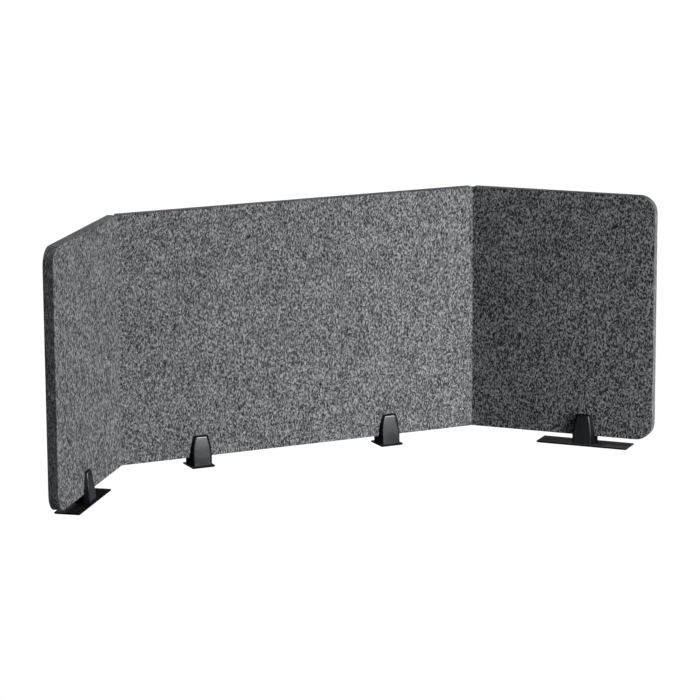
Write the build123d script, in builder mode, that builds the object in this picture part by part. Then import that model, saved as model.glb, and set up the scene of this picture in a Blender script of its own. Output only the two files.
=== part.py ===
from build123d import *
import os
from math import atan2, cos, degrees, hypot, radians, sin, tan

os.makedirs("parts", exist_ok=True)

# Acoustic divider screen: one sheet of pressed felt, folded at two scored lines into a centre
# panel and two wings, standing on four moulded clips that are screwed to flat steel plates.
# Millimetres and degrees. The front is -Y, the desk is at height zero.

# Felt sheet
panel_height = 450.0
centre_length = 700.0
left_wing_length = 350.0
right_wing_length = 350.0
felt_thickness = 18.0
corner_radius = 32.0

# Folds: a slot is milled from the back, and the felt left at its front bends as a hinge.
slot_width = 3.0
web_thickness = 2.0
left_fold_angle = 51.0
right_fold_angle = 48.2

# Places of the feet: centre ones from the left fold, wing ones from their own fold
left_foot_place = 151.5
right_foot_place = 527.5
left_wing_foot_place = 195.0
right_wing_foot_place = 219.0

# Foot plates and their anti-slip pads
plate_depth = 46.0
short_plate_length = 44.0
long_plate_length = 174.0
plate_thickness = 2.5
plate_corner_cut = 1.2
plate_edge_bevel = 0.4
pad_thickness = 1.0
pad_inset = 1.5

# Clip: a saddle under the felt's lower edge, and a tapered jaw on each side of the felt
saddle_height = 15.0
clip_reach = 39.5
clip_base_width = 43.0
clip_top_width = 27.0
face_base_width = 34.0
face_top_width = 21.5
face_drop = 2.5
jaw_base_depth = 9.5
jaw_top_depth = 3.5
jaw_corner_radius = 2.5
face_corner_radius = 2.5
face_bevel = 1.2
straight_height = 9.0
jaw_trim = 2.0
jaw_clearance = 0.2

# Inside of the clip, which is cored from below
wall = 2.2
core_height = 30.0
rib_thickness = 1.6
rib_spacing = 11.0
saddle_roof = 3.0
recess_depth = 5.0
recess_margin = 1.2
recess_slope = 4.2

# Screws that hold the plate to the clip
screw_diameter = 4.0
screw_length = 11.0
screw_head_diameter = 7.2
screw_head_angle = 90.0
screw_spacing = 19.0
screw_socket = 2.5
screw_socket_depth = 1.3
screw_clearance = 0.08
screw_rail = 8.0

# Worked out from the sizes above
left_turn = radians(left_fold_angle)
right_turn = radians(right_fold_angle)
plate_top = pad_thickness + plate_thickness
felt_base = plate_top + saddle_height
clip_height = saddle_height + clip_reach
jaw_gap = felt_thickness / 2 + jaw_clearance
screw_head_height = (screw_head_diameter - screw_diameter) / 2 / tan(radians(screw_head_angle / 2))

# The origin is the middle of the outline's box, seen from above, at the desk.
left_reach = left_wing_length * cos(left_turn) + felt_thickness * sin(left_turn)
right_reach = right_wing_length * cos(right_turn) + felt_thickness * sin(right_turn)
front_reach = max(left_wing_length * sin(left_turn), right_wing_length * sin(right_turn))
back_reach = felt_thickness / 2 + plate_depth / 2
left_fold_x = -(centre_length + right_reach - left_reach) / 2
right_fold_x = left_fold_x + centre_length
fold_y = (front_reach - back_reach) / 2


def heading(x, y, z, angle):
    """A level plane whose x runs along a panel, turned by an angle seen from above."""
    return Plane(origin=(x, y, z), x_dir=(cos(angle), sin(angle), 0), z_dir=(0, 0, 1))


def standing(level):
    """The upright plane on a panel's front face: x along the panel, y up, normal to the front."""
    return Plane(origin=level.origin, x_dir=level.x_dir, z_dir=-level.y_dir)


# One level plane a panel, at its fold; the centre panel has one at each fold.
centre_level = heading(left_fold_x, fold_y, felt_base, 0)
centre_far_level = heading(right_fold_x, fold_y, felt_base, 0)
left_level = heading(left_fold_x, fold_y, felt_base, left_turn)
right_level = heading(right_fold_x, fold_y, felt_base, -right_turn)

# Felt panels

with BuildPart() as centre_panel:
    with BuildSketch(standing(centre_level)):
        with Locations((centre_length / 2, panel_height / 2)):
            Rectangle(centre_length - slot_width, panel_height)
    extrude(amount=-felt_thickness)


def wing(level, length, side):
    """A wing from its fold to its free end, whose two corners are rounded. Side is -1 or 1."""
    cut_length = length - slot_width / 2
    with BuildPart() as panel:
        with BuildSketch(standing(level)) as outline:
            with Locations((side * (slot_width + cut_length) / 2, panel_height / 2)):
                Rectangle(cut_length, panel_height)
            ends = outline.vertices().group_by(Axis.X)
            fillet(ends[-1] if side > 0 else ends[0], radius=corner_radius)
        extrude(amount=-felt_thickness)
    return panel.part


left_wing_panel = wing(left_level, left_wing_length, -1)
right_wing_panel = wing(right_level, right_wing_length, 1)


def fold_web(level, side, angle):
    """The strip of felt left at the front of a slot, bent from the centre panel's end to a wing's."""
    bend_radius = slot_width / 2 / tan(radians(angle) / 2)
    start = level.origin - level.x_dir * side * slot_width / 2
    pivot = start - level.y_dir * bend_radius
    with BuildPart() as web:
        with BuildSketch(Plane(origin=start, x_dir=level.y_dir, z_dir=level.x_dir)):
            with Locations((web_thickness / 2, panel_height / 2)):
                Rectangle(web_thickness, panel_height)
        revolve(axis=Axis(pivot, (0, 0, -side)), revolution_arc=angle)
    return web.part


left_fold_web = fold_web(centre_level, -1, left_fold_angle)
right_fold_web = fold_web(centre_far_level, 1, right_fold_angle)

# Clip, drawn at the middle of its plate's top face, with the felt's mid-plane in XZ


def jaw_outline(plane, base_width, top_width, height, straight, radius):
    """A jaw seen from the front: upright at its foot, then leaning in on an arc to its top."""
    with BuildSketch(plane) as outline:
        with BuildLine():
            Line((-base_width / 2, -jaw_trim), (base_width / 2, -jaw_trim))
            Line((base_width / 2, -jaw_trim), (base_width / 2, straight))
            side = TangentArc((base_width / 2, straight), (top_width / 2, height), tangent=(0, 1))
            Line((top_width / 2, height), (-top_width / 2, height))
            mirror(side, about=Plane.YZ)
            Line((-base_width / 2, straight), (-base_width / 2, -jaw_trim))
        make_face()
        fillet(outline.vertices().group_by(Axis.Y)[-1], radius=radius)
    return outline.sketch


# The planes of a jaw: its back against the felt, its leaning face, and the rim of the face's bevel
jaw_lean = jaw_base_depth - jaw_top_depth
face_slope = hypot(jaw_lean, clip_height)
clip_back = Plane(origin=(0, -jaw_gap, 0), x_dir=(1, 0, 0), z_dir=(0, -1, 0))
clip_face = Plane(origin=(0, -jaw_gap - jaw_base_depth, 0), x_dir=(1, 0, 0),
                  z_dir=(0, -clip_height / face_slope, jaw_lean / face_slope))
clip_rim = clip_face.offset(-face_bevel)
rim_height = face_slope - face_drop
core_top_depth = jaw_base_depth - jaw_lean * core_height / clip_height
core_base_width = face_base_width - 2 * wall
core_top_width = core_base_width - (face_base_width - face_top_width) * core_height / clip_height

# The core of a jaw, open at its foot: a wedge seen from the side, a trapezoid from the front
with BuildPart() as core:
    with BuildSketch(Plane.YZ):
        Polygon(
            (-jaw_gap - wall, 0),
            (-jaw_gap - jaw_base_depth + wall, 0),
            (-jaw_gap - core_top_depth + wall, core_height),
            (-jaw_gap - wall, core_height),
            align=None,
        )
    extrude(amount=core_base_width / 2, both=True)
    with BuildSketch(Plane.XZ):
        Polygon(
            (-core_base_width / 2, 0),
            (core_base_width / 2, 0),
            (core_top_width / 2, core_height),
            (-core_top_width / 2, core_height),
            align=None,
        )
    extrude(amount=jaw_gap + jaw_base_depth, mode=Mode.INTERSECT)

# The hollow in each end of the saddle: a blunt pyramid, lying with its base at the origin
recess_width = 2 * (jaw_gap - recess_margin)
recess_height = saddle_height - 2 * recess_margin
with BuildPart() as recess:
    with BuildSketch(Plane.XY):
        Trapezoid(recess_width, recess_depth, degrees(atan2(recess_depth, recess_slope)),
                  align=(Align.CENTER, Align.MIN))
    extrude(amount=recess_height / 2, both=True)
    with BuildSketch(Plane.YZ):
        with Locations(Location((0, 0), -90)):
            Trapezoid(recess_height, recess_depth, degrees(atan2(recess_depth, recess_slope)),
                      align=(Align.CENTER, Align.MIN))
    extrude(amount=recess_width / 2, both=True, mode=Mode.INTERSECT)

with BuildPart() as clip:
    # One jaw, from the felt out to its leaning face, which is bevelled all round
    loft(
        sections=[
            jaw_outline(clip_back, clip_base_width, clip_top_width, clip_height,
                        straight_height, jaw_corner_radius),
            jaw_outline(clip_rim, face_base_width, face_top_width, rim_height,
                        straight_height, face_corner_radius),
            jaw_outline(clip_face, face_base_width - 2 * face_bevel, face_top_width - 2 * face_bevel,
                        rim_height - face_bevel, straight_height, face_corner_radius),
        ],
        ruled=True,
    )
    split(bisect_by=Plane.XY)
    add(core.part, mode=Mode.SUBTRACT)
    # Two upright ribs across the core
    for x in (-rib_spacing / 2, rib_spacing / 2):
        with BuildSketch(Plane.YZ.offset(x)):
            Polygon(
                (-jaw_gap - wall / 2, 0),
                (-jaw_gap - jaw_base_depth + wall / 2, 0),
                (-jaw_gap - core_top_depth + wall / 2, core_height),
                (-jaw_gap - wall / 2, core_height),
                align=None,
            )
        extrude(amount=rib_thickness / 2, both=True)
    # The second jaw, behind the felt
    mirror(about=Plane.XZ)
    # The saddle between the jaws, cored from below
    with BuildSketch():
        Rectangle(clip_base_width, 2 * jaw_gap)
    extrude(amount=saddle_height)
    with BuildSketch():
        Rectangle(clip_base_width - 2 * (recess_depth + wall), 2 * jaw_gap)
    extrude(amount=saddle_height - saddle_roof, mode=Mode.SUBTRACT)
    # The rail between the saddle's ends, which takes the screws
    with BuildSketch():
        Rectangle(clip_base_width - 2 * recess_depth, screw_rail)
    extrude(amount=saddle_height - saddle_roof)
    with BuildSketch():
        with GridLocations(screw_spacing, 0, 2, 1):
            Circle(screw_diameter / 2 + screw_clearance)
    extrude(amount=saddle_height - saddle_roof, mode=Mode.SUBTRACT)
    # The hollow in each end of the saddle
    with Locations(
        Location((-clip_base_width / 2, 0, saddle_height / 2), (0, 0, -90)),
        Location((clip_base_width / 2, 0, saddle_height / 2), (0, 0, 90)),
    ):
        add(recess.part, mode=Mode.SUBTRACT)

# Foot plates, lying under the clip with their top face at height zero


def countersunk_plate(length):
    """A flat steel plate with two countersunk holes for the clip's screws."""
    with BuildPart() as plate:
        with BuildSketch(Plane.XY.offset(-plate_thickness)) as outline:
            Rectangle(length, plate_depth)
            chamfer(outline.vertices(), length=plate_corner_cut)
        extrude(amount=plate_thickness)
        chamfer(plate.faces().sort_by(Axis.Z)[-1].edges(), length=plate_edge_bevel)
        underside = Plane(origin=(0, 0, -plate_thickness), x_dir=(1, 0, 0), z_dir=(0, 0, -1))
        with Locations(underside):
            with GridLocations(screw_spacing, 0, 2, 1):
                CounterSinkHole(
                    radius=screw_diameter / 2 + screw_clearance,
                    counter_sink_radius=screw_head_diameter / 2 + screw_clearance,
                    depth=plate_thickness,
                    counter_sink_angle=screw_head_angle,
                )
    return plate.part


def anti_slip_pad(length):
    """A thin rubber sheet glued under a plate, a little smaller than the plate."""
    with BuildPart() as pad:
        with BuildSketch(Plane.XY.offset(-plate_top)):
            Rectangle(length - 2 * pad_inset, plate_depth - 2 * pad_inset)
        extrude(amount=pad_thickness)
    return pad.part


# The two screws of a foot, up through the plate into the bosses
screw_base = Plane.XY.offset(-plate_thickness)
with BuildPart() as screws:
    with BuildSketch(screw_base):
        with GridLocations(screw_spacing, 0, 2, 1):
            Circle(screw_head_diameter / 2)
    extrude(amount=screw_head_height, taper=screw_head_angle / 2)
    with BuildSketch(screw_base.offset(screw_head_height)):
        with GridLocations(screw_spacing, 0, 2, 1):
            Circle(screw_diameter / 2)
    extrude(amount=screw_length - screw_head_height)
    with BuildSketch(screw_base):
        with GridLocations(screw_spacing, 0, 2, 1):
            RegularPolygon(screw_socket / 2, 6, major_radius=False)
    extrude(amount=screw_socket_depth, mode=Mode.SUBTRACT)

short_plate = countersunk_plate(short_plate_length)
long_plate = countersunk_plate(long_plate_length)
short_pad = anti_slip_pad(short_plate_length)
long_pad = anti_slip_pad(long_plate_length)

# Hand the felt pieces over

felt_pieces = {
    "centre_panel": centre_panel.part,
    "left_wing_panel": left_wing_panel,
    "right_wing_panel": right_wing_panel,
    "left_fold_web": left_fold_web,
    "right_fold_web": right_fold_web,
}
for name, piece in felt_pieces.items():
    piece.label = name
    export_step(piece, f"parts/{name}.step")

# Four feet: the panel each one stands under, its place along that panel, and its plate

feet = {
    "centre_left": (centre_level, left_foot_place, short_plate, short_pad),
    "centre_right": (centre_level, right_foot_place, short_plate, short_pad),
    "left_wing": (left_level, -left_wing_foot_place, long_plate, long_pad),
    "right_wing": (right_level, right_wing_foot_place, long_plate, long_pad),
}
for foot, (level, place, plate, pad) in feet.items():
    seat = level.location * Location((place, felt_thickness / 2, -saddle_height))
    pieces = {"clip": clip.part, "foot_plate": plate, "screws": screws.part, "anti_slip_pad": pad}
    for name, piece in pieces.items():
        placed = piece.moved(seat)
        placed.label = f"{foot}_{name}"
        export_step(placed, f"parts/{foot}_{name}.step")
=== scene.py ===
import bpy
import bmesh
from math import atan2, cos, pi, radians, sin, tan
from mathutils import Matrix, Vector


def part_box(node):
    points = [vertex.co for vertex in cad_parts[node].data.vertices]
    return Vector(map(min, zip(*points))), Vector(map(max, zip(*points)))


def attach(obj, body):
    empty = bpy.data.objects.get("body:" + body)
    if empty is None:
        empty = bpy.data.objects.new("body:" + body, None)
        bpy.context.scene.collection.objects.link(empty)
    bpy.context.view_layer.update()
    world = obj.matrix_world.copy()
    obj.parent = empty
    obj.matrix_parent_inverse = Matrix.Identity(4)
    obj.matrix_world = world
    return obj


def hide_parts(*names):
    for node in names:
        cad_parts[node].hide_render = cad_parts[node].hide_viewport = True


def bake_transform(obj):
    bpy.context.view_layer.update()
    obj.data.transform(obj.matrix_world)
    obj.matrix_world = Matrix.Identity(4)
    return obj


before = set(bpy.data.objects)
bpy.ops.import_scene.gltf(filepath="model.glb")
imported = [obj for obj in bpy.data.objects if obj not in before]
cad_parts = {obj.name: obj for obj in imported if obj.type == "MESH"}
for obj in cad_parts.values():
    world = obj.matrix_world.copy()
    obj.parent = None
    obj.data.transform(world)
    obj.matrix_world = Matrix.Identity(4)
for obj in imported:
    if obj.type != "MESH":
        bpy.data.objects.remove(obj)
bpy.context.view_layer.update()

# Metres and degrees, in the part's own frame: the front is -Y, the desk is at height zero.

felt_thickness = 0.018
corner_radius = 0.032
corner_steps = 14
slot_width = 0.003
web_thickness = 0.002
wing_length = 0.350
rim_round = 0.0009
rim_middle = 0.00025  # how far the middle of a round lies in from the corner that it replaces
rim_segments = 3
fold_columns = 10
fold_angles = {"left": 51.0, "right": 48.2}
fold_sides = {"left": -1, "right": 1}
tiny = 1e-6

centre_low, centre_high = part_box("centre_panel")
felt_base = centre_low[2]
felt_height = centre_high[2] - centre_low[2]
front_y = centre_low[1]


# Materials


def new_material(name):
    """A material with nodes, and its principled shader."""
    material = bpy.data.materials.new(name)
    material.use_nodes = True
    shader = material.node_tree.nodes["Principled BSDF"]
    return material, shader


class Nodes:
    """Short ways to add the nodes that the materials below use."""

    def __init__(self, material):
        self.tree = material.node_tree

    def add(self, kind, inputs=None, **settings):
        node = self.tree.nodes.new(kind)
        for key, value in settings.items():
            setattr(node, key, value)
        for key, value in (inputs or {}).items():
            self.put(node.inputs[key], value)
        return node

    def put(self, socket, value):
        if isinstance(value, bpy.types.NodeSocket):
            self.tree.links.new(value, socket)
        else:
            socket.default_value = value

    def maths(self, operation, first, second=0.0):
        return self.add("ShaderNodeMath", {0: first, 1: second}, operation=operation).outputs[0]

    def vector(self, operation, first, second):
        node = self.add("ShaderNodeVectorMath", {0: first, 1: second}, operation=operation)
        return node.outputs[0]

    def noise(self, vector, scale, detail, roughness):
        node = self.add("ShaderNodeTexNoise", {"Vector": vector, "Scale": scale, "Detail": detail,
                                               "Roughness": roughness})
        return node.outputs["Fac"]

    def spread(self, value, low, high, start=0.0, end=1.0):
        node = self.add("ShaderNodeMapRange", {"Value": value, "From Min": low, "From Max": high,
                                               "To Min": start, "To Max": end}, clamp=True)
        return node.outputs["Result"]

    def mix(self, factor, first, second, blend="MIX"):
        node = self.add("ShaderNodeMix", data_type="RGBA", blend_type=blend)
        for index, value in ((0, factor), (6, first), (7, second)):
            self.put(node.inputs[index], value)
        return node.outputs[2]

    def ramp(self, value, stops):
        node = self.add("ShaderNodeValToRGB", {"Fac": value})
        elements = node.color_ramp.elements
        while len(elements) < len(stops):
            elements.new(0.5)
        for element, (place, colour) in zip(elements, stops):
            element.position = place
            element.color = (*colour, 1.0)
        return node.outputs["Color"]


# Tints of the dark, the grey and the pale fibres
felt_tints = ((0.94, 1.0, 1.14), (0.972, 1.0, 1.05), (0.99, 1.0, 1.028))
# How far the fibres wander, and the sizes of the wander and of the tufts, per metre
wander, wander_scale, tuft_scale = 0.006, 200.0, 120.0
# Scale per metre, detail and roughness of each grain in the felt
fibre_grain, hair_grain, marl_grain = (230.0, 1.0, 0.5), (420.0, 2.0, 0.6), (390.0, 3.0, 0.62)
lump_grain, cloud_grain = (80.0, 2.0, 0.6), (24.0, 2.0, 0.5)
# Shifts that keep the grains from lining up
lump_shift, cloud_shift = (3.1, 1.7, 0.4), (7.3, 2.9, 5.1)
# How much longer than wide the fibres and the hairs are
fibre_length, hair_length = 3.0, 9.0
# How much each grain counts in the colour and in the relief
marl_share, fibre_share = 0.55, 0.45
hair_weight, lump_weight, cloud_weight = 0.30, 0.10, 0.05
relief_share, relief_hairs, relief_depth = 0.5, 0.3, 0.0014


def felt_material(name, stretch, shades, contrast):
    """Melange felt: dark, grey and pale fibres pressed together, matt and a little hairy."""
    material, shader = new_material(name)
    n = Nodes(material)
    sheet = n.add("ShaderNodeAttribute", attribute_name="sheet").outputs["Vector"]
    drawn = n.vector("MULTIPLY", sheet, stretch)
    # The fibres wander, and lie in tufts that each have their own direction
    warp = n.add("ShaderNodeTexNoise", {"Vector": drawn, "Scale": wander_scale, "Detail": 2.0})
    bend = n.vector("MULTIPLY", n.vector("SUBTRACT", warp.outputs["Color"], (0.5, 0.5, 0.5)),
                    (wander, wander, wander))
    place = n.vector("ADD", drawn, bend)
    tufts = n.add("ShaderNodeTexVoronoi", {"Vector": place, "Scale": tuft_scale})
    pick = n.add("ShaderNodeSeparateColor", {"Color": tufts.outputs["Color"]}).outputs[0]
    turned = n.add("ShaderNodeVectorRotate", {"Vector": place, "Axis": (0.0, 1.0, 0.0),
                                              "Angle": n.maths("MULTIPLY", pick, pi)},
                   rotation_type="AXIS_ANGLE").outputs[0]
    fibres = n.noise(n.vector("MULTIPLY", turned, (1.0, 1.0, fibre_length)), *fibre_grain)
    hairs = n.noise(n.vector("MULTIPLY", turned, (1.0, 1.0, hair_length)), *hair_grain)
    marl = n.noise(place, *marl_grain)
    lumps = n.noise(n.vector("ADD", drawn, lump_shift), *lump_grain)
    clouds = n.noise(n.vector("ADD", sheet, cloud_shift), *cloud_grain)
    mixed = n.maths("ADD", n.maths("MULTIPLY", marl, marl_share),
                    n.maths("MULTIPLY", fibres, fibre_share))
    for grain, weight in ((hairs, hair_weight), (lumps, lump_weight), (clouds, cloud_weight)):
        mixed = n.maths("ADD", mixed,
                        n.maths("MULTIPLY", n.maths("SUBTRACT", grain, 0.5), weight))
    sharp = n.spread(mixed, 0.5 - contrast, 0.5 + contrast)
    dark, middle, pale = [tuple(shade * c for c in tint)
                          for shade, tint in zip(shades, felt_tints)]
    n.put(shader.inputs["Base Color"], n.ramp(sharp, ((0.0, dark), (0.5, middle), (1.0, pale))))
    shader.inputs["Roughness"].default_value = 0.94
    shader.inputs["Specular IOR Level"].default_value = 0.1
    shader.inputs["Sheen Weight"].default_value = 0.10
    shader.inputs["Sheen Roughness"].default_value = 0.6
    relief = n.maths("ADD", n.maths("MULTIPLY", fibres, relief_share),
                     n.maths("MULTIPLY", marl, relief_share))
    relief = n.maths("ADD", relief, n.maths("MULTIPLY", hairs, relief_hairs))
    bump = n.add("ShaderNodeBump", {"Height": relief, "Strength": 0.6, "Distance": relief_depth})
    n.put(shader.inputs["Normal"], bump.outputs["Normal"])
    return material


# How unevenly a plain surface shines, and how far its grain changes its shade
shine_swing, shade_swing = 0.04, 0.15
# Scale per metre, detail and roughness of the uneven shine, and detail and roughness of the grain
uneven_noise, grain_noise = (60.0, 2.0, 0.5), (3.0, 0.6)
# The range that such a noise mostly keeps to
noise_range = (0.3, 0.7)
# How far up a face looks where it stops being an upright edge with painted shade, and where it is
# level
painted_edge_shade_range = (0.4, 0.8)


def plain_material(name, colour, roughness, grain, metallic=0.0, specular=0.5, edge=1.0):
    """A plain shader with a fine moulded or rolled grain; its upright edges can get a darker
    shade, which is painted shade.
    """
    material, shader = new_material(name)
    n = Nodes(material)
    shader.inputs["Metallic"].default_value = metallic
    shader.inputs["Specular IOR Level"].default_value = specular
    place = n.add("ShaderNodeTexCoord").outputs["Object"]
    size, depth = grain
    texture = n.noise(place, size, *grain_noise)
    uneven = n.noise(place, *uneven_noise)
    n.put(shader.inputs["Roughness"],
          n.spread(uneven, *noise_range, roughness - shine_swing, roughness + shine_swing))
    low, high = [(*[factor * c for c in colour], 1.0)
                 for factor in (1 - shade_swing, 1 + shade_swing)]
    shade = n.mix(n.spread(texture, *noise_range), low, high)
    # Upright faces are painted darker: painted shade on the edges.
    if edge != 1.0:
        normal = n.add("ShaderNodeTexCoord").outputs["Normal"]
        height = n.add("ShaderNodeSeparateXYZ", {"Vector": normal}).outputs[2]
        upright = n.spread(n.maths("ABSOLUTE", height), *painted_edge_shade_range, edge, 1.0)
        grey = n.add("ShaderNodeCombineColor", {0: upright, 1: upright, 2: upright}).outputs[0]
        shade = n.mix(1.0, shade, grey, "MULTIPLY")
    n.put(shader.inputs["Base Color"], shade)
    bump = n.add("ShaderNodeBump", {"Height": texture, "Strength": 0.3, "Distance": depth})
    n.put(shader.inputs["Normal"], bump.outputs["Normal"])
    return material


# Felt: how its grain is stretched, how bright the dark, the grey and the pale fibres are, and how
# far the noise swings from the dark ones to the grey ones
felt_face = felt_material("felt_face", (1.0, 1.0, 0.5), (0.023, 0.141, 0.515), 0.092)
# The wings' fronts are copies of the same felt with their own stretch, and with darker shades and
# a harder grain than the centre's. The darker shades and the harder grain are painted shade on
# the wings.
wing_fronts_painted_shade = {
    "left": felt_material("felt_left_wing_painted_shade", (0.8, 1.0, 0.38), (0.0155, 0.097, 0.462), 0.062),
    "right": felt_material("felt_right_wing_painted_shade", (0.9, 1.0, 0.5), (0.0105, 0.074, 0.5), 0.064),
}
# The rounded rims are a darker copy of the felt: painted shade along the edges of the panels.
felt_rim_painted_shade = felt_material("felt_rim_painted_shade", (1.0, 1.0, 0.5), (0.016, 0.072, 0.262), 0.1)
felt_cut = felt_material("felt_cut", (1.0, 2.2, 0.35), (0.0272, 0.1224, 0.446), 0.17)
# Plain finishes: colour, roughness, and the grain's scale per metre and depth
plastic_grain, paint_grain = (2600.0, 0.00003), (1900.0, 0.00004)
screw_grain, rubber_grain = (1500.0, 0.00002), (1200.0, 0.0001)
plastic = plain_material("moulded_plastic", (0.014, 0.0185, 0.023), 0.19, plastic_grain)
# The clips' flanks and the saddle under the felt get a darker, duller copy of the same plastic:
# painted shade.
plastic_side_painted_shade = plain_material("moulded_plastic_painted_shade", (0.003, 0.0033, 0.0036), 0.5, plastic_grain,
                              specular=0.05)
# The same paint is made darker on the left wing's plate and paler on the right wing's: painted
# shade on the left plate and painted light on the right one
paint_tint = (0.96, 0.96, 1.02)
plate_shades_painted_light = {"centre": 0.0854, "left_wing": 0.048, "right_wing": 0.125}
# The plates' upright edges are painted at 0.12 of their shade: painted shade.
lit_and_shaded_paints = {
    place: plain_material(f"painted_steel_with_painted_light_{place}", tuple(shade * c for c in paint_tint), 0.6,
                          paint_grain, specular=0.0, edge=0.12)
    for place, shade in plate_shades_painted_light.items()
}
screw_steel = plain_material("screw_steel", (0.55, 0.55, 0.56), 0.35, screw_grain, metallic=1.0)
rubber = plain_material("rubber", (0.008, 0.008, 0.008), 0.8, rubber_grain)


# Felt, drawn flat as (along the sheet, into its thickness, height) and then folded

front_index, cut_index, rim_index, back_index = range(4)
# How squarely a felt face looks along the thickness: above one it is flat, below the other a cut
flat_level, cut_level = 0.98, 0.02
# How much more squarely a face looks along the thickness than the rim that it meets, at the least
rim_turn = 0.5


def slab(outline, thickness):
    """A flat sheet with an outline of (along, height) points."""
    bm = bmesh.new()
    front = [bm.verts.new((s, 0.0, z)) for s, z in outline]
    back = [bm.verts.new((s, thickness, z)) for s, z in outline]
    bm.faces.new(front)
    bm.faces.new(back[::-1])
    count = len(outline)
    for i in range(count):
        j = (i + 1) % count
        bm.faces.new((front[j], front[i], back[i], back[j]))
    bmesh.ops.recalc_face_normals(bm, faces=bm.faces[:])
    return bm


def round_rim(bm, keep):
    """Rounds the edges between the faces and the rim, but those that keep() picks."""
    bm.edges.ensure_lookup_table()
    rim = []
    for edge in bm.edges:
        one, two = edge.link_faces
        if abs(abs(one.normal.y) - abs(two.normal.y)) > rim_turn and not keep(edge):
            rim.append(edge)
    bmesh.ops.bevel(bm, geom=rim, offset=rim_round, offset_type="OFFSET", segments=rim_segments,
                    profile=0.5, affect="EDGES", clamp_overlap=True)


def felt_piece(name, bm, place, front=None):
    """Turns a flat mesh into a piece: keeps its flat places for the texture, then folds it."""
    bmesh.ops.triangulate(bm, faces=[f for f in bm.faces if len(f.verts) > 4])
    layer = bm.verts.layers.float_vector.new("sheet")
    for vert in bm.verts:
        vert[layer] = vert.co
    for face in bm.faces:
        level = abs(face.normal.y)
        if level > flat_level:
            face.material_index = front_index if face.normal.y < 0.0 else back_index
        else:
            face.material_index = cut_index if level < cut_level else rim_index
        face.smooth = False
    for vert in bm.verts:
        vert.co = place(vert.co)
    bmesh.ops.recalc_face_normals(bm, faces=bm.faces[:])
    mesh = bpy.data.meshes.new(name)
    bm.to_mesh(mesh)
    bm.free()
    for finish in (front or felt_face, felt_cut, felt_rim_painted_shade, felt_face):
        mesh.materials.append(finish)
    piece = bpy.data.objects.new(name, mesh)
    bpy.context.scene.collection.objects.link(piece)
    return piece


def fold_frame(name):
    """How a fold maps the flat sheet to space: its start, its end and its function."""
    side, turn = fold_sides[name], radians(fold_angles[name])
    along, deep = Vector((side, 0.0, 0.0)), Vector((0.0, 1.0, 0.0))
    edge = centre_low[0] if side < 0 else centre_high[0]
    radius = slot_width / 2 / tan(turn / 2)
    start = Vector((edge, front_y, felt_base))
    pivot = start - deep * radius

    def place(flat):
        s, t, z = flat
        up = Vector((0.0, 0.0, z))
        angle = turn * min(max((s + slot_width / 2) / slot_width, 0.0), 1.0)
        outward = deep * cos(angle) + along * sin(angle)
        onward = along * cos(angle) - deep * sin(angle)
        rest = s - slot_width / 2 if s > slot_width / 2 else 0.0
        return pivot + outward * (radius + t) + onward * rest + up

    end = place((slot_width / 2, 0.0, 0.0))
    return start, end, place


def centre_felt():
    """The centre panel, with sharp upright edges at its front, where the webs go on."""
    length = centre_high[0] - centre_low[0]
    outline = [(0.0, 0.0), (length, 0.0), (length, felt_height), (0.0, felt_height)]
    bm = slab(outline, felt_thickness)
    round_rim(bm, lambda e: all(v.co.y < tiny for v in e.verts)
              and abs(e.verts[0].co.x - e.verts[1].co.x) < tiny)
    piece = felt_piece("centre_felt", bm, lambda flat: Vector(centre_low) + Vector(flat))
    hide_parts("centre_panel")
    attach(piece, "centre")


def wing_felt(name):
    """A wing with two rounded free corners, and the web that joins it to the centre."""
    inner, outer = slot_width / 2, wing_length
    outline = [(inner, 0.0)]
    for top in (False, True):
        middle = felt_height - corner_radius if top else corner_radius
        for i in range(corner_steps + 1):
            angle = pi / 2 * i / corner_steps + (0.0 if top else -pi / 2)
            outline.append((outer - corner_radius + corner_radius * cos(angle),
                            middle + corner_radius * sin(angle)))
    outline.append((inner, felt_height))
    start, end, place = fold_frame(name)
    bm = slab(outline, felt_thickness)
    round_rim(bm, lambda e: all(v.co.y < tiny and v.co.x < inner + tiny for v in e.verts))
    wing = felt_piece(f"{name}_wing_felt", bm, place, wing_fronts_painted_shade[name])
    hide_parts(f"{name}_wing_panel")
    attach(wing, f"{name}_wing")

    # The web, as a row of upright sections through the thickness
    bm = bmesh.new()
    section = [(0.0, rim_round), (0.0, felt_height - rim_round),
               (rim_middle, felt_height - rim_middle), (rim_round, felt_height),
               (web_thickness, felt_height), (web_thickness, 0.0),
               (rim_round, 0.0), (rim_middle, rim_middle)]
    rings = []
    for i in range(fold_columns + 1):
        s = -slot_width / 2 + slot_width * i / fold_columns
        rings.append([bm.verts.new((s, t, z)) for t, z in section])
    for one, two in zip(rings, rings[1:]):
        for i in range(len(one)):
            j = (i + 1) % len(one)
            bm.faces.new((one[i], one[j], two[j], two[i]))
    bmesh.ops.recalc_face_normals(bm, faces=bm.faces[:])
    web = felt_piece(f"{name}_fold_felt", bm, place)
    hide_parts(f"{name}_fold_web")
    tuple(start)
    tuple(end)
    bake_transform(web)


centre_felt()
for wing_name in fold_angles:
    wing_felt(wing_name)

# Clips, with the rounded edges of a moulding. Drawn at the middle of the foot plate's top face.

saddle_height = 0.015
clip_height = 0.0545
jaw_clearance = 0.0002
jaw_gap = felt_thickness / 2 + jaw_clearance
jaw_base_depth, jaw_top_depth = 0.0095, 0.0035
clip_base_width, clip_top_width = 0.043, 0.027
face_base_width, face_top_width = 0.034, 0.0215
face_drop = 0.0025
face_round = 0.0016
face_inset = 0.0006
face_bow = 0.00045
straight_height = 0.009
jaw_corner = 0.0025
recess_depth, recess_margin, recess_slope = 0.005, 0.0012, 0.0042
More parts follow.
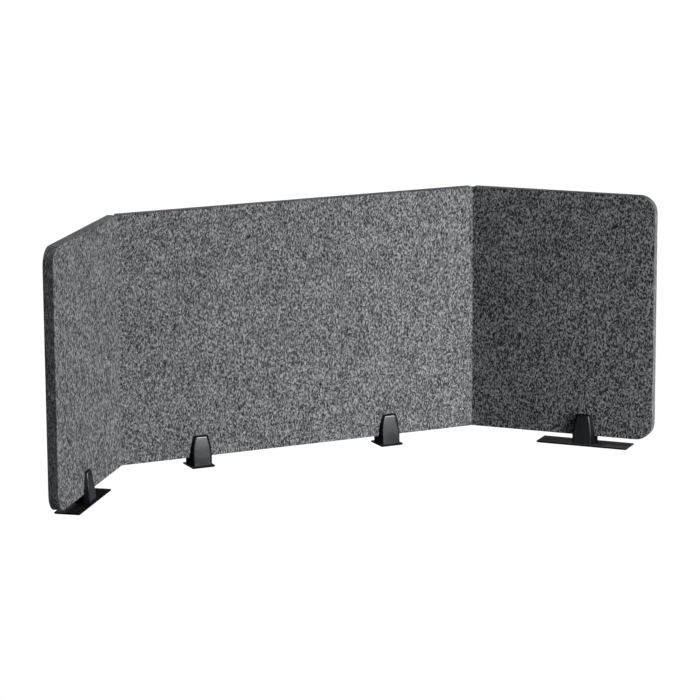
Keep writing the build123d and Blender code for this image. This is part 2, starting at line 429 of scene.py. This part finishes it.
# Each share runs from the felt (0) to the start of the round (1), so that the flanks stay flat
flank_shares = (0.0, 0.08, 0.92, 1.0)
rim_steps = 4
side_steps = 12
corner_cuts = 5
smooth_angle = 32.0
turn_sight = 0.05
face_index, painted_shade_index = range(2)
foot_places = {"centre_left": ("centre", 0.1515), "centre_right": ("centre", 0.5275),
               "left_wing": ("left", 0.195), "right_wing": ("right", 0.219)}


def jaw_half(base_width, top_width, height):
    """Half of a jaw's outline, from its foot up to the middle of its top."""
    reach, rise = (base_width - top_width) / 2, height - straight_height
    radius = (reach ** 2 + rise ** 2) / (2 * reach)
    lean = 2 * atan2(reach, rise)
    points = [(base_width / 2, 0.0)]
    for i in range(side_steps + 1):
        turn = lean * i / side_steps
        points.append((base_width / 2 - radius * (1 - cos(turn)),
                       straight_height + radius * sin(turn)))
    # The corner between the leaning side and the level top
    side_way = Vector((-sin(lean), cos(lean)))
    corner = Vector(points.pop())
    bend = pi / 2 - lean
    back_off = jaw_corner * tan(bend / 2)
    start = corner - side_way * back_off
    while points[-1][1] > start.y:
        points.pop()
    middle = start + Vector((-cos(lean), -sin(lean))) * jaw_corner
    for i in range(corner_cuts + 1):
        turn = lean + bend * i / corner_cuts
        points.append((middle.x + jaw_corner * cos(turn), middle.y + jaw_corner * sin(turn)))
    points.append((0.0, height))
    return points


def jaw_ring(bm, base_width, top_width, height, depth_at):
    """One ring of a jaw: its whole outline, at a depth that depends on the height."""
    half = jaw_half(base_width, top_width, height)
    whole = half + [(-x, z) for x, z in half[-2::-1]]
    return [bm.verts.new((x, -jaw_gap - depth_at(z), z)) for x, z in whole]


def jaw(bm):
    """One jaw, from the felt to its leaning face, with a rounded rim."""
    slope = (jaw_base_depth - jaw_top_depth) / clip_height
    height = clip_height - face_drop

    def face_depth(z):
        return jaw_base_depth - slope * z + 4 * face_bow * z / clip_height * (1 - z / clip_height)

    rings = []
    for share in flank_shares:
        rings.append(jaw_ring(bm, clip_base_width + (face_base_width - clip_base_width) * share,
                              clip_top_width + (face_top_width - clip_top_width) * share,
                              clip_height - face_drop * share,
                              lambda z: (face_depth(z) - face_round) * share))
    for i in range(1, rim_steps + 1):
        turn = pi / 2 * i / rim_steps
        inset, short = face_round * (1 - cos(turn)), face_round * (1 - sin(turn))
        rings.append(jaw_ring(bm, face_base_width - 2 * inset, face_top_width - 2 * inset,
                              height - inset, lambda z: face_depth(z) - short))
    inset = face_round + face_inset
    rings.append(jaw_ring(bm, face_base_width - 2 * inset, face_top_width - 2 * inset,
                          height - inset, face_depth))
    for level, (one, two) in enumerate(zip(rings, rings[1:])):
        for i in range(len(one)):
            j = (i + 1) % len(one)
            side = bm.faces.new((one[i], one[j], two[j], two[i]))
            side.material_index = painted_shade_index if level < len(flank_shares) - 1 else face_index
    bm.faces.new(rings[-1])
    bm.faces.new(rings[0][::-1])


def saddle(bm):
    """The block under the felt, with a blunt hollow in each end."""
    half, deep = clip_base_width / 2, jaw_gap
    rims = []
    for side in (-1, 1):
        loops = []
        for inset, sink in ((0.0, 0.0), (recess_margin, 0.0),
                            (recess_margin + recess_slope, recess_depth)):
            low, high = inset, saddle_height - inset
            loops.append([bm.verts.new((side * (half - sink), y, z)) for y, z in
                          ((-deep + inset, low), (deep - inset, low),
                           (deep - inset, high), (-deep + inset, high))])
        for one, two in zip(loops, loops[1:]):
            for i in range(4):
                j = (i + 1) % 4
                bm.faces.new((one[i], one[j], two[j], two[i])).material_index = painted_shade_index
        bm.faces.new(loops[-1]).material_index = painted_shade_index
        rims.append(loops[0])
    one, two = rims
    for i in range(4):
        j = (i + 1) % 4
        bm.faces.new((one[i], one[j], two[j], two[i])).material_index = painted_shade_index


def clip_mesh():
    """The whole moulding: two jaws and the saddle between them."""
    bm = bmesh.new()
    jaw(bm)
    bmesh.ops.duplicate(bm, geom=bm.verts[:] + bm.edges[:] + bm.faces[:])
    bm.verts.ensure_lookup_table()
    for vert in bm.verts[:len(bm.verts) // 2]:
        vert.co.y = -vert.co.y
    saddle(bm)
    bmesh.ops.recalc_face_normals(bm, faces=bm.faces[:])
    for face in bm.faces:
        face.smooth = True
    mesh = bpy.data.meshes.new("clip")
    bm.to_mesh(mesh)
    bm.free()
    mesh.set_sharp_from_angle(angle=radians(smooth_angle))
    mesh.materials.append(plastic)
    # The second finish is the darker copy of the plastic, painted shade on the flanks and the
    # saddle.
    mesh.materials.append(plastic_side_painted_shade)
    return mesh


def foot_matrix(panel, along):
    """Where the middle of a foot plate's top face stands, and how it is turned."""
    low_z = felt_base - saddle_height
    middle = felt_thickness / 2
    if panel == "centre":
        x = centre_low[0] - slot_width / 2 + along
        return Matrix.Translation((x, front_y + middle, low_z))
    # A second point further out along the wing shows which way the foot is turned
    place = fold_frame(panel)[2]
    here, there = [place((s, middle, 0.0)) for s in (along, along + turn_sight)]
    across = (there - here) * fold_sides[panel]
    turn = atan2(across.y, across.x)
    return Matrix.Translation((here.x, here.y, low_z)) @ Matrix.Rotation(turn, 4, "Z")


clip_shape = clip_mesh()
for foot, (panel, along) in foot_places.items():
    moulding = bpy.data.objects.new(f"{foot}_moulding", clip_shape.copy())
    bpy.context.scene.collection.objects.link(moulding)
    moulding.data.transform(foot_matrix(panel, along))
    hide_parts(f"{foot}_clip")
    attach(moulding, "centre" if panel == "centre" else f"{panel}_wing")

# The other pieces of the feet keep their shape and get their finish

for foot in foot_places:
    finishes = {"foot_plate": lit_and_shaded_paints.get(foot, lit_and_shaded_paints["centre"]), "screws": screw_steel,
                "anti_slip_pad": rubber}
    for kind, finish in finishes.items():
        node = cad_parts[f"{foot}_{kind}"]
        node.data.materials.clear()
        node.data.materials.append(finish)

# Floor and light

white = (1.0, 1.0, 1.0, 1.0)
black = (0.0, 0.0, 0.0, 1.0)
# The brightness of the sweep, and of the pale desk as the plastic and the paint reflect it
sweep_glow, reflected_glow = 1.03, 0.18


def glowing_plane(name, material_name, size, height, strength):
    """A level plane that is equally bright everywhere and takes no light or shadow."""
    material, shader = new_material(material_name)
    shader.inputs["Base Color"].default_value = black
    shader.inputs["Specular IOR Level"].default_value = 0.0
    shader.inputs["Roughness"].default_value = 1.0
    shader.inputs["Emission Color"].default_value = white
    shader.inputs["Emission Strength"].default_value = strength
    bpy.ops.mesh.primitive_plane_add(size=size, location=(0.0, 0.0, height))
    plane = bpy.context.object
    plane.name = name
    plane.data.materials.append(material)
    plane.visible_diffuse = False
    return plane


# The white sweep, as bright everywhere as the picture's background
floor = glowing_plane("floor", "pale_floor", 60.0, 0.0, sweep_glow)
floor.visible_glossy = False

# The desk that only shows as a reflection
desk_glow = glowing_plane("desk_glow", "desk_glow", 12.0, -0.001, reflected_glow)
desk_glow.visible_camera = False
desk_glow.visible_shadow = False

world = bpy.data.worlds.new("studio")
bpy.context.scene.world = world
world.use_nodes = True
world.node_tree.nodes["Background"].inputs["Color"].default_value = white
world.node_tree.nodes["Background"].inputs["Strength"].default_value = sweep_glow
world.cycles_visibility.diffuse = False
world.cycles_visibility.glossy = False

# name: (azimuth from the front towards +X, elevation, distance from the aim), aim, width, height
# and watts. These softboxes light the surfaces, and don't show in any reflection.
lamps = {
    "key": ((33.0, 0.0, 5.0), (0.0, 0.0, 0.10), 1.2, 0.25, 192.0),
    "near": ((48.0, 0.0, 1.3), (0.1, 0.0, 0.06), 0.6, 0.2, 7.8),
    "left": ((-50.0, 8.0, 2.2), (0.0, 0.0, 0.22), 0.9, 0.5, 1.8),
    "top": ((223.5, 60.0, 2.6), (0.0, 0.0, 0.3), 0.7, 0.7, 31.0),
    "back_left": ((205.0, 12.0, 2.4), (0.0, 0.0, 0.22), 1.2, 0.8, 24.0),
    "back_right": ((155.0, 12.0, 2.4), (0.0, 0.0, 0.22), 1.2, 0.8, 24.0),
}
# These only show as reflections in the plastic and the metal
gloss_lamps = {
    "gloss_low": ((22.5, 4.2, 5.0), (0.0, 0.0, 0.03), 1.0, 0.6, 35.0),
    "gloss_high": ((33.0, 31.0, 4.0), (0.0, 0.0, 0.03), 2.2, 2.7, 480.0),
    "gloss_left": ((-40.0, 14.0, 4.0), (0.0, 0.0, 0.03), 1.0, 1.5, 70.0),
    "gloss_back_left": ((215.0, 8.0, 4.0), (0.0, 0.0, 0.03), 1.2, 1.0, 12.0),
    "gloss_back_right": ((120.0, 8.0, 4.0), (0.0, 0.0, 0.03), 1.2, 1.0, 8.0),
}
for lamp_name, (direction, aim, width, height, watts) in {**lamps, **gloss_lamps}.items():
    azimuth, elevation, distance = radians(direction[0]), radians(direction[1]), direction[2]
    lamp = bpy.data.lights.new(lamp_name, "AREA")
    lamp.shape = "RECTANGLE"
    lamp.size, lamp.size_y = width, height
    lamp.energy = watts
    holder = bpy.data.objects.new(lamp_name, lamp)
    bpy.context.scene.collection.objects.link(holder)
    offset = Vector((sin(azimuth) * cos(elevation), -cos(azimuth) * cos(elevation),
                     sin(elevation))) * distance
    holder.location = Vector(aim) + offset
    holder.rotation_euler = (-offset).to_track_quat("-Z", "Y").to_euler()
    holder.visible_camera = False
    holder.visible_glossy = lamp_name in gloss_lamps
    holder.visible_diffuse = lamp_name in lamps

# Camera, solved from the picture's edges

camera_place = Vector((-2.3588, -5.0470, 1.3770))
yaw, pitch, roll = radians(25.382), radians(11.769), radians(-0.330)
sky = Vector((0.0, 0.0, 1.0))
level = Vector((sin(yaw), cos(yaw), 0.0))
across = Vector((cos(yaw), -sin(yaw), 0.0))
ahead = level * cos(pitch) - sky * sin(pitch)
above = sky * cos(pitch) + level * sin(pitch)
right = across * cos(roll) + above * sin(roll)
upward = above * cos(roll) - across * sin(roll)
camera_data = bpy.data.cameras.new("camera")
camera_data.sensor_width = 36.0
camera_data.lens = 164.855
camera_data.clip_end = 100.0
camera = bpy.data.objects.new("camera", camera_data)
bpy.context.scene.collection.objects.link(camera)
camera.matrix_world = Matrix((
    (right.x, upward.x, -ahead.x, camera_place.x),
    (right.y, upward.y, -ahead.y, camera_place.y),
    (right.z, upward.z, -ahead.z, camera_place.z),
    (0.0, 0.0, 0.0, 1.0),
))
bpy.context.scene.camera = camera
bpy.context.scene.view_settings.view_transform = "Standard"
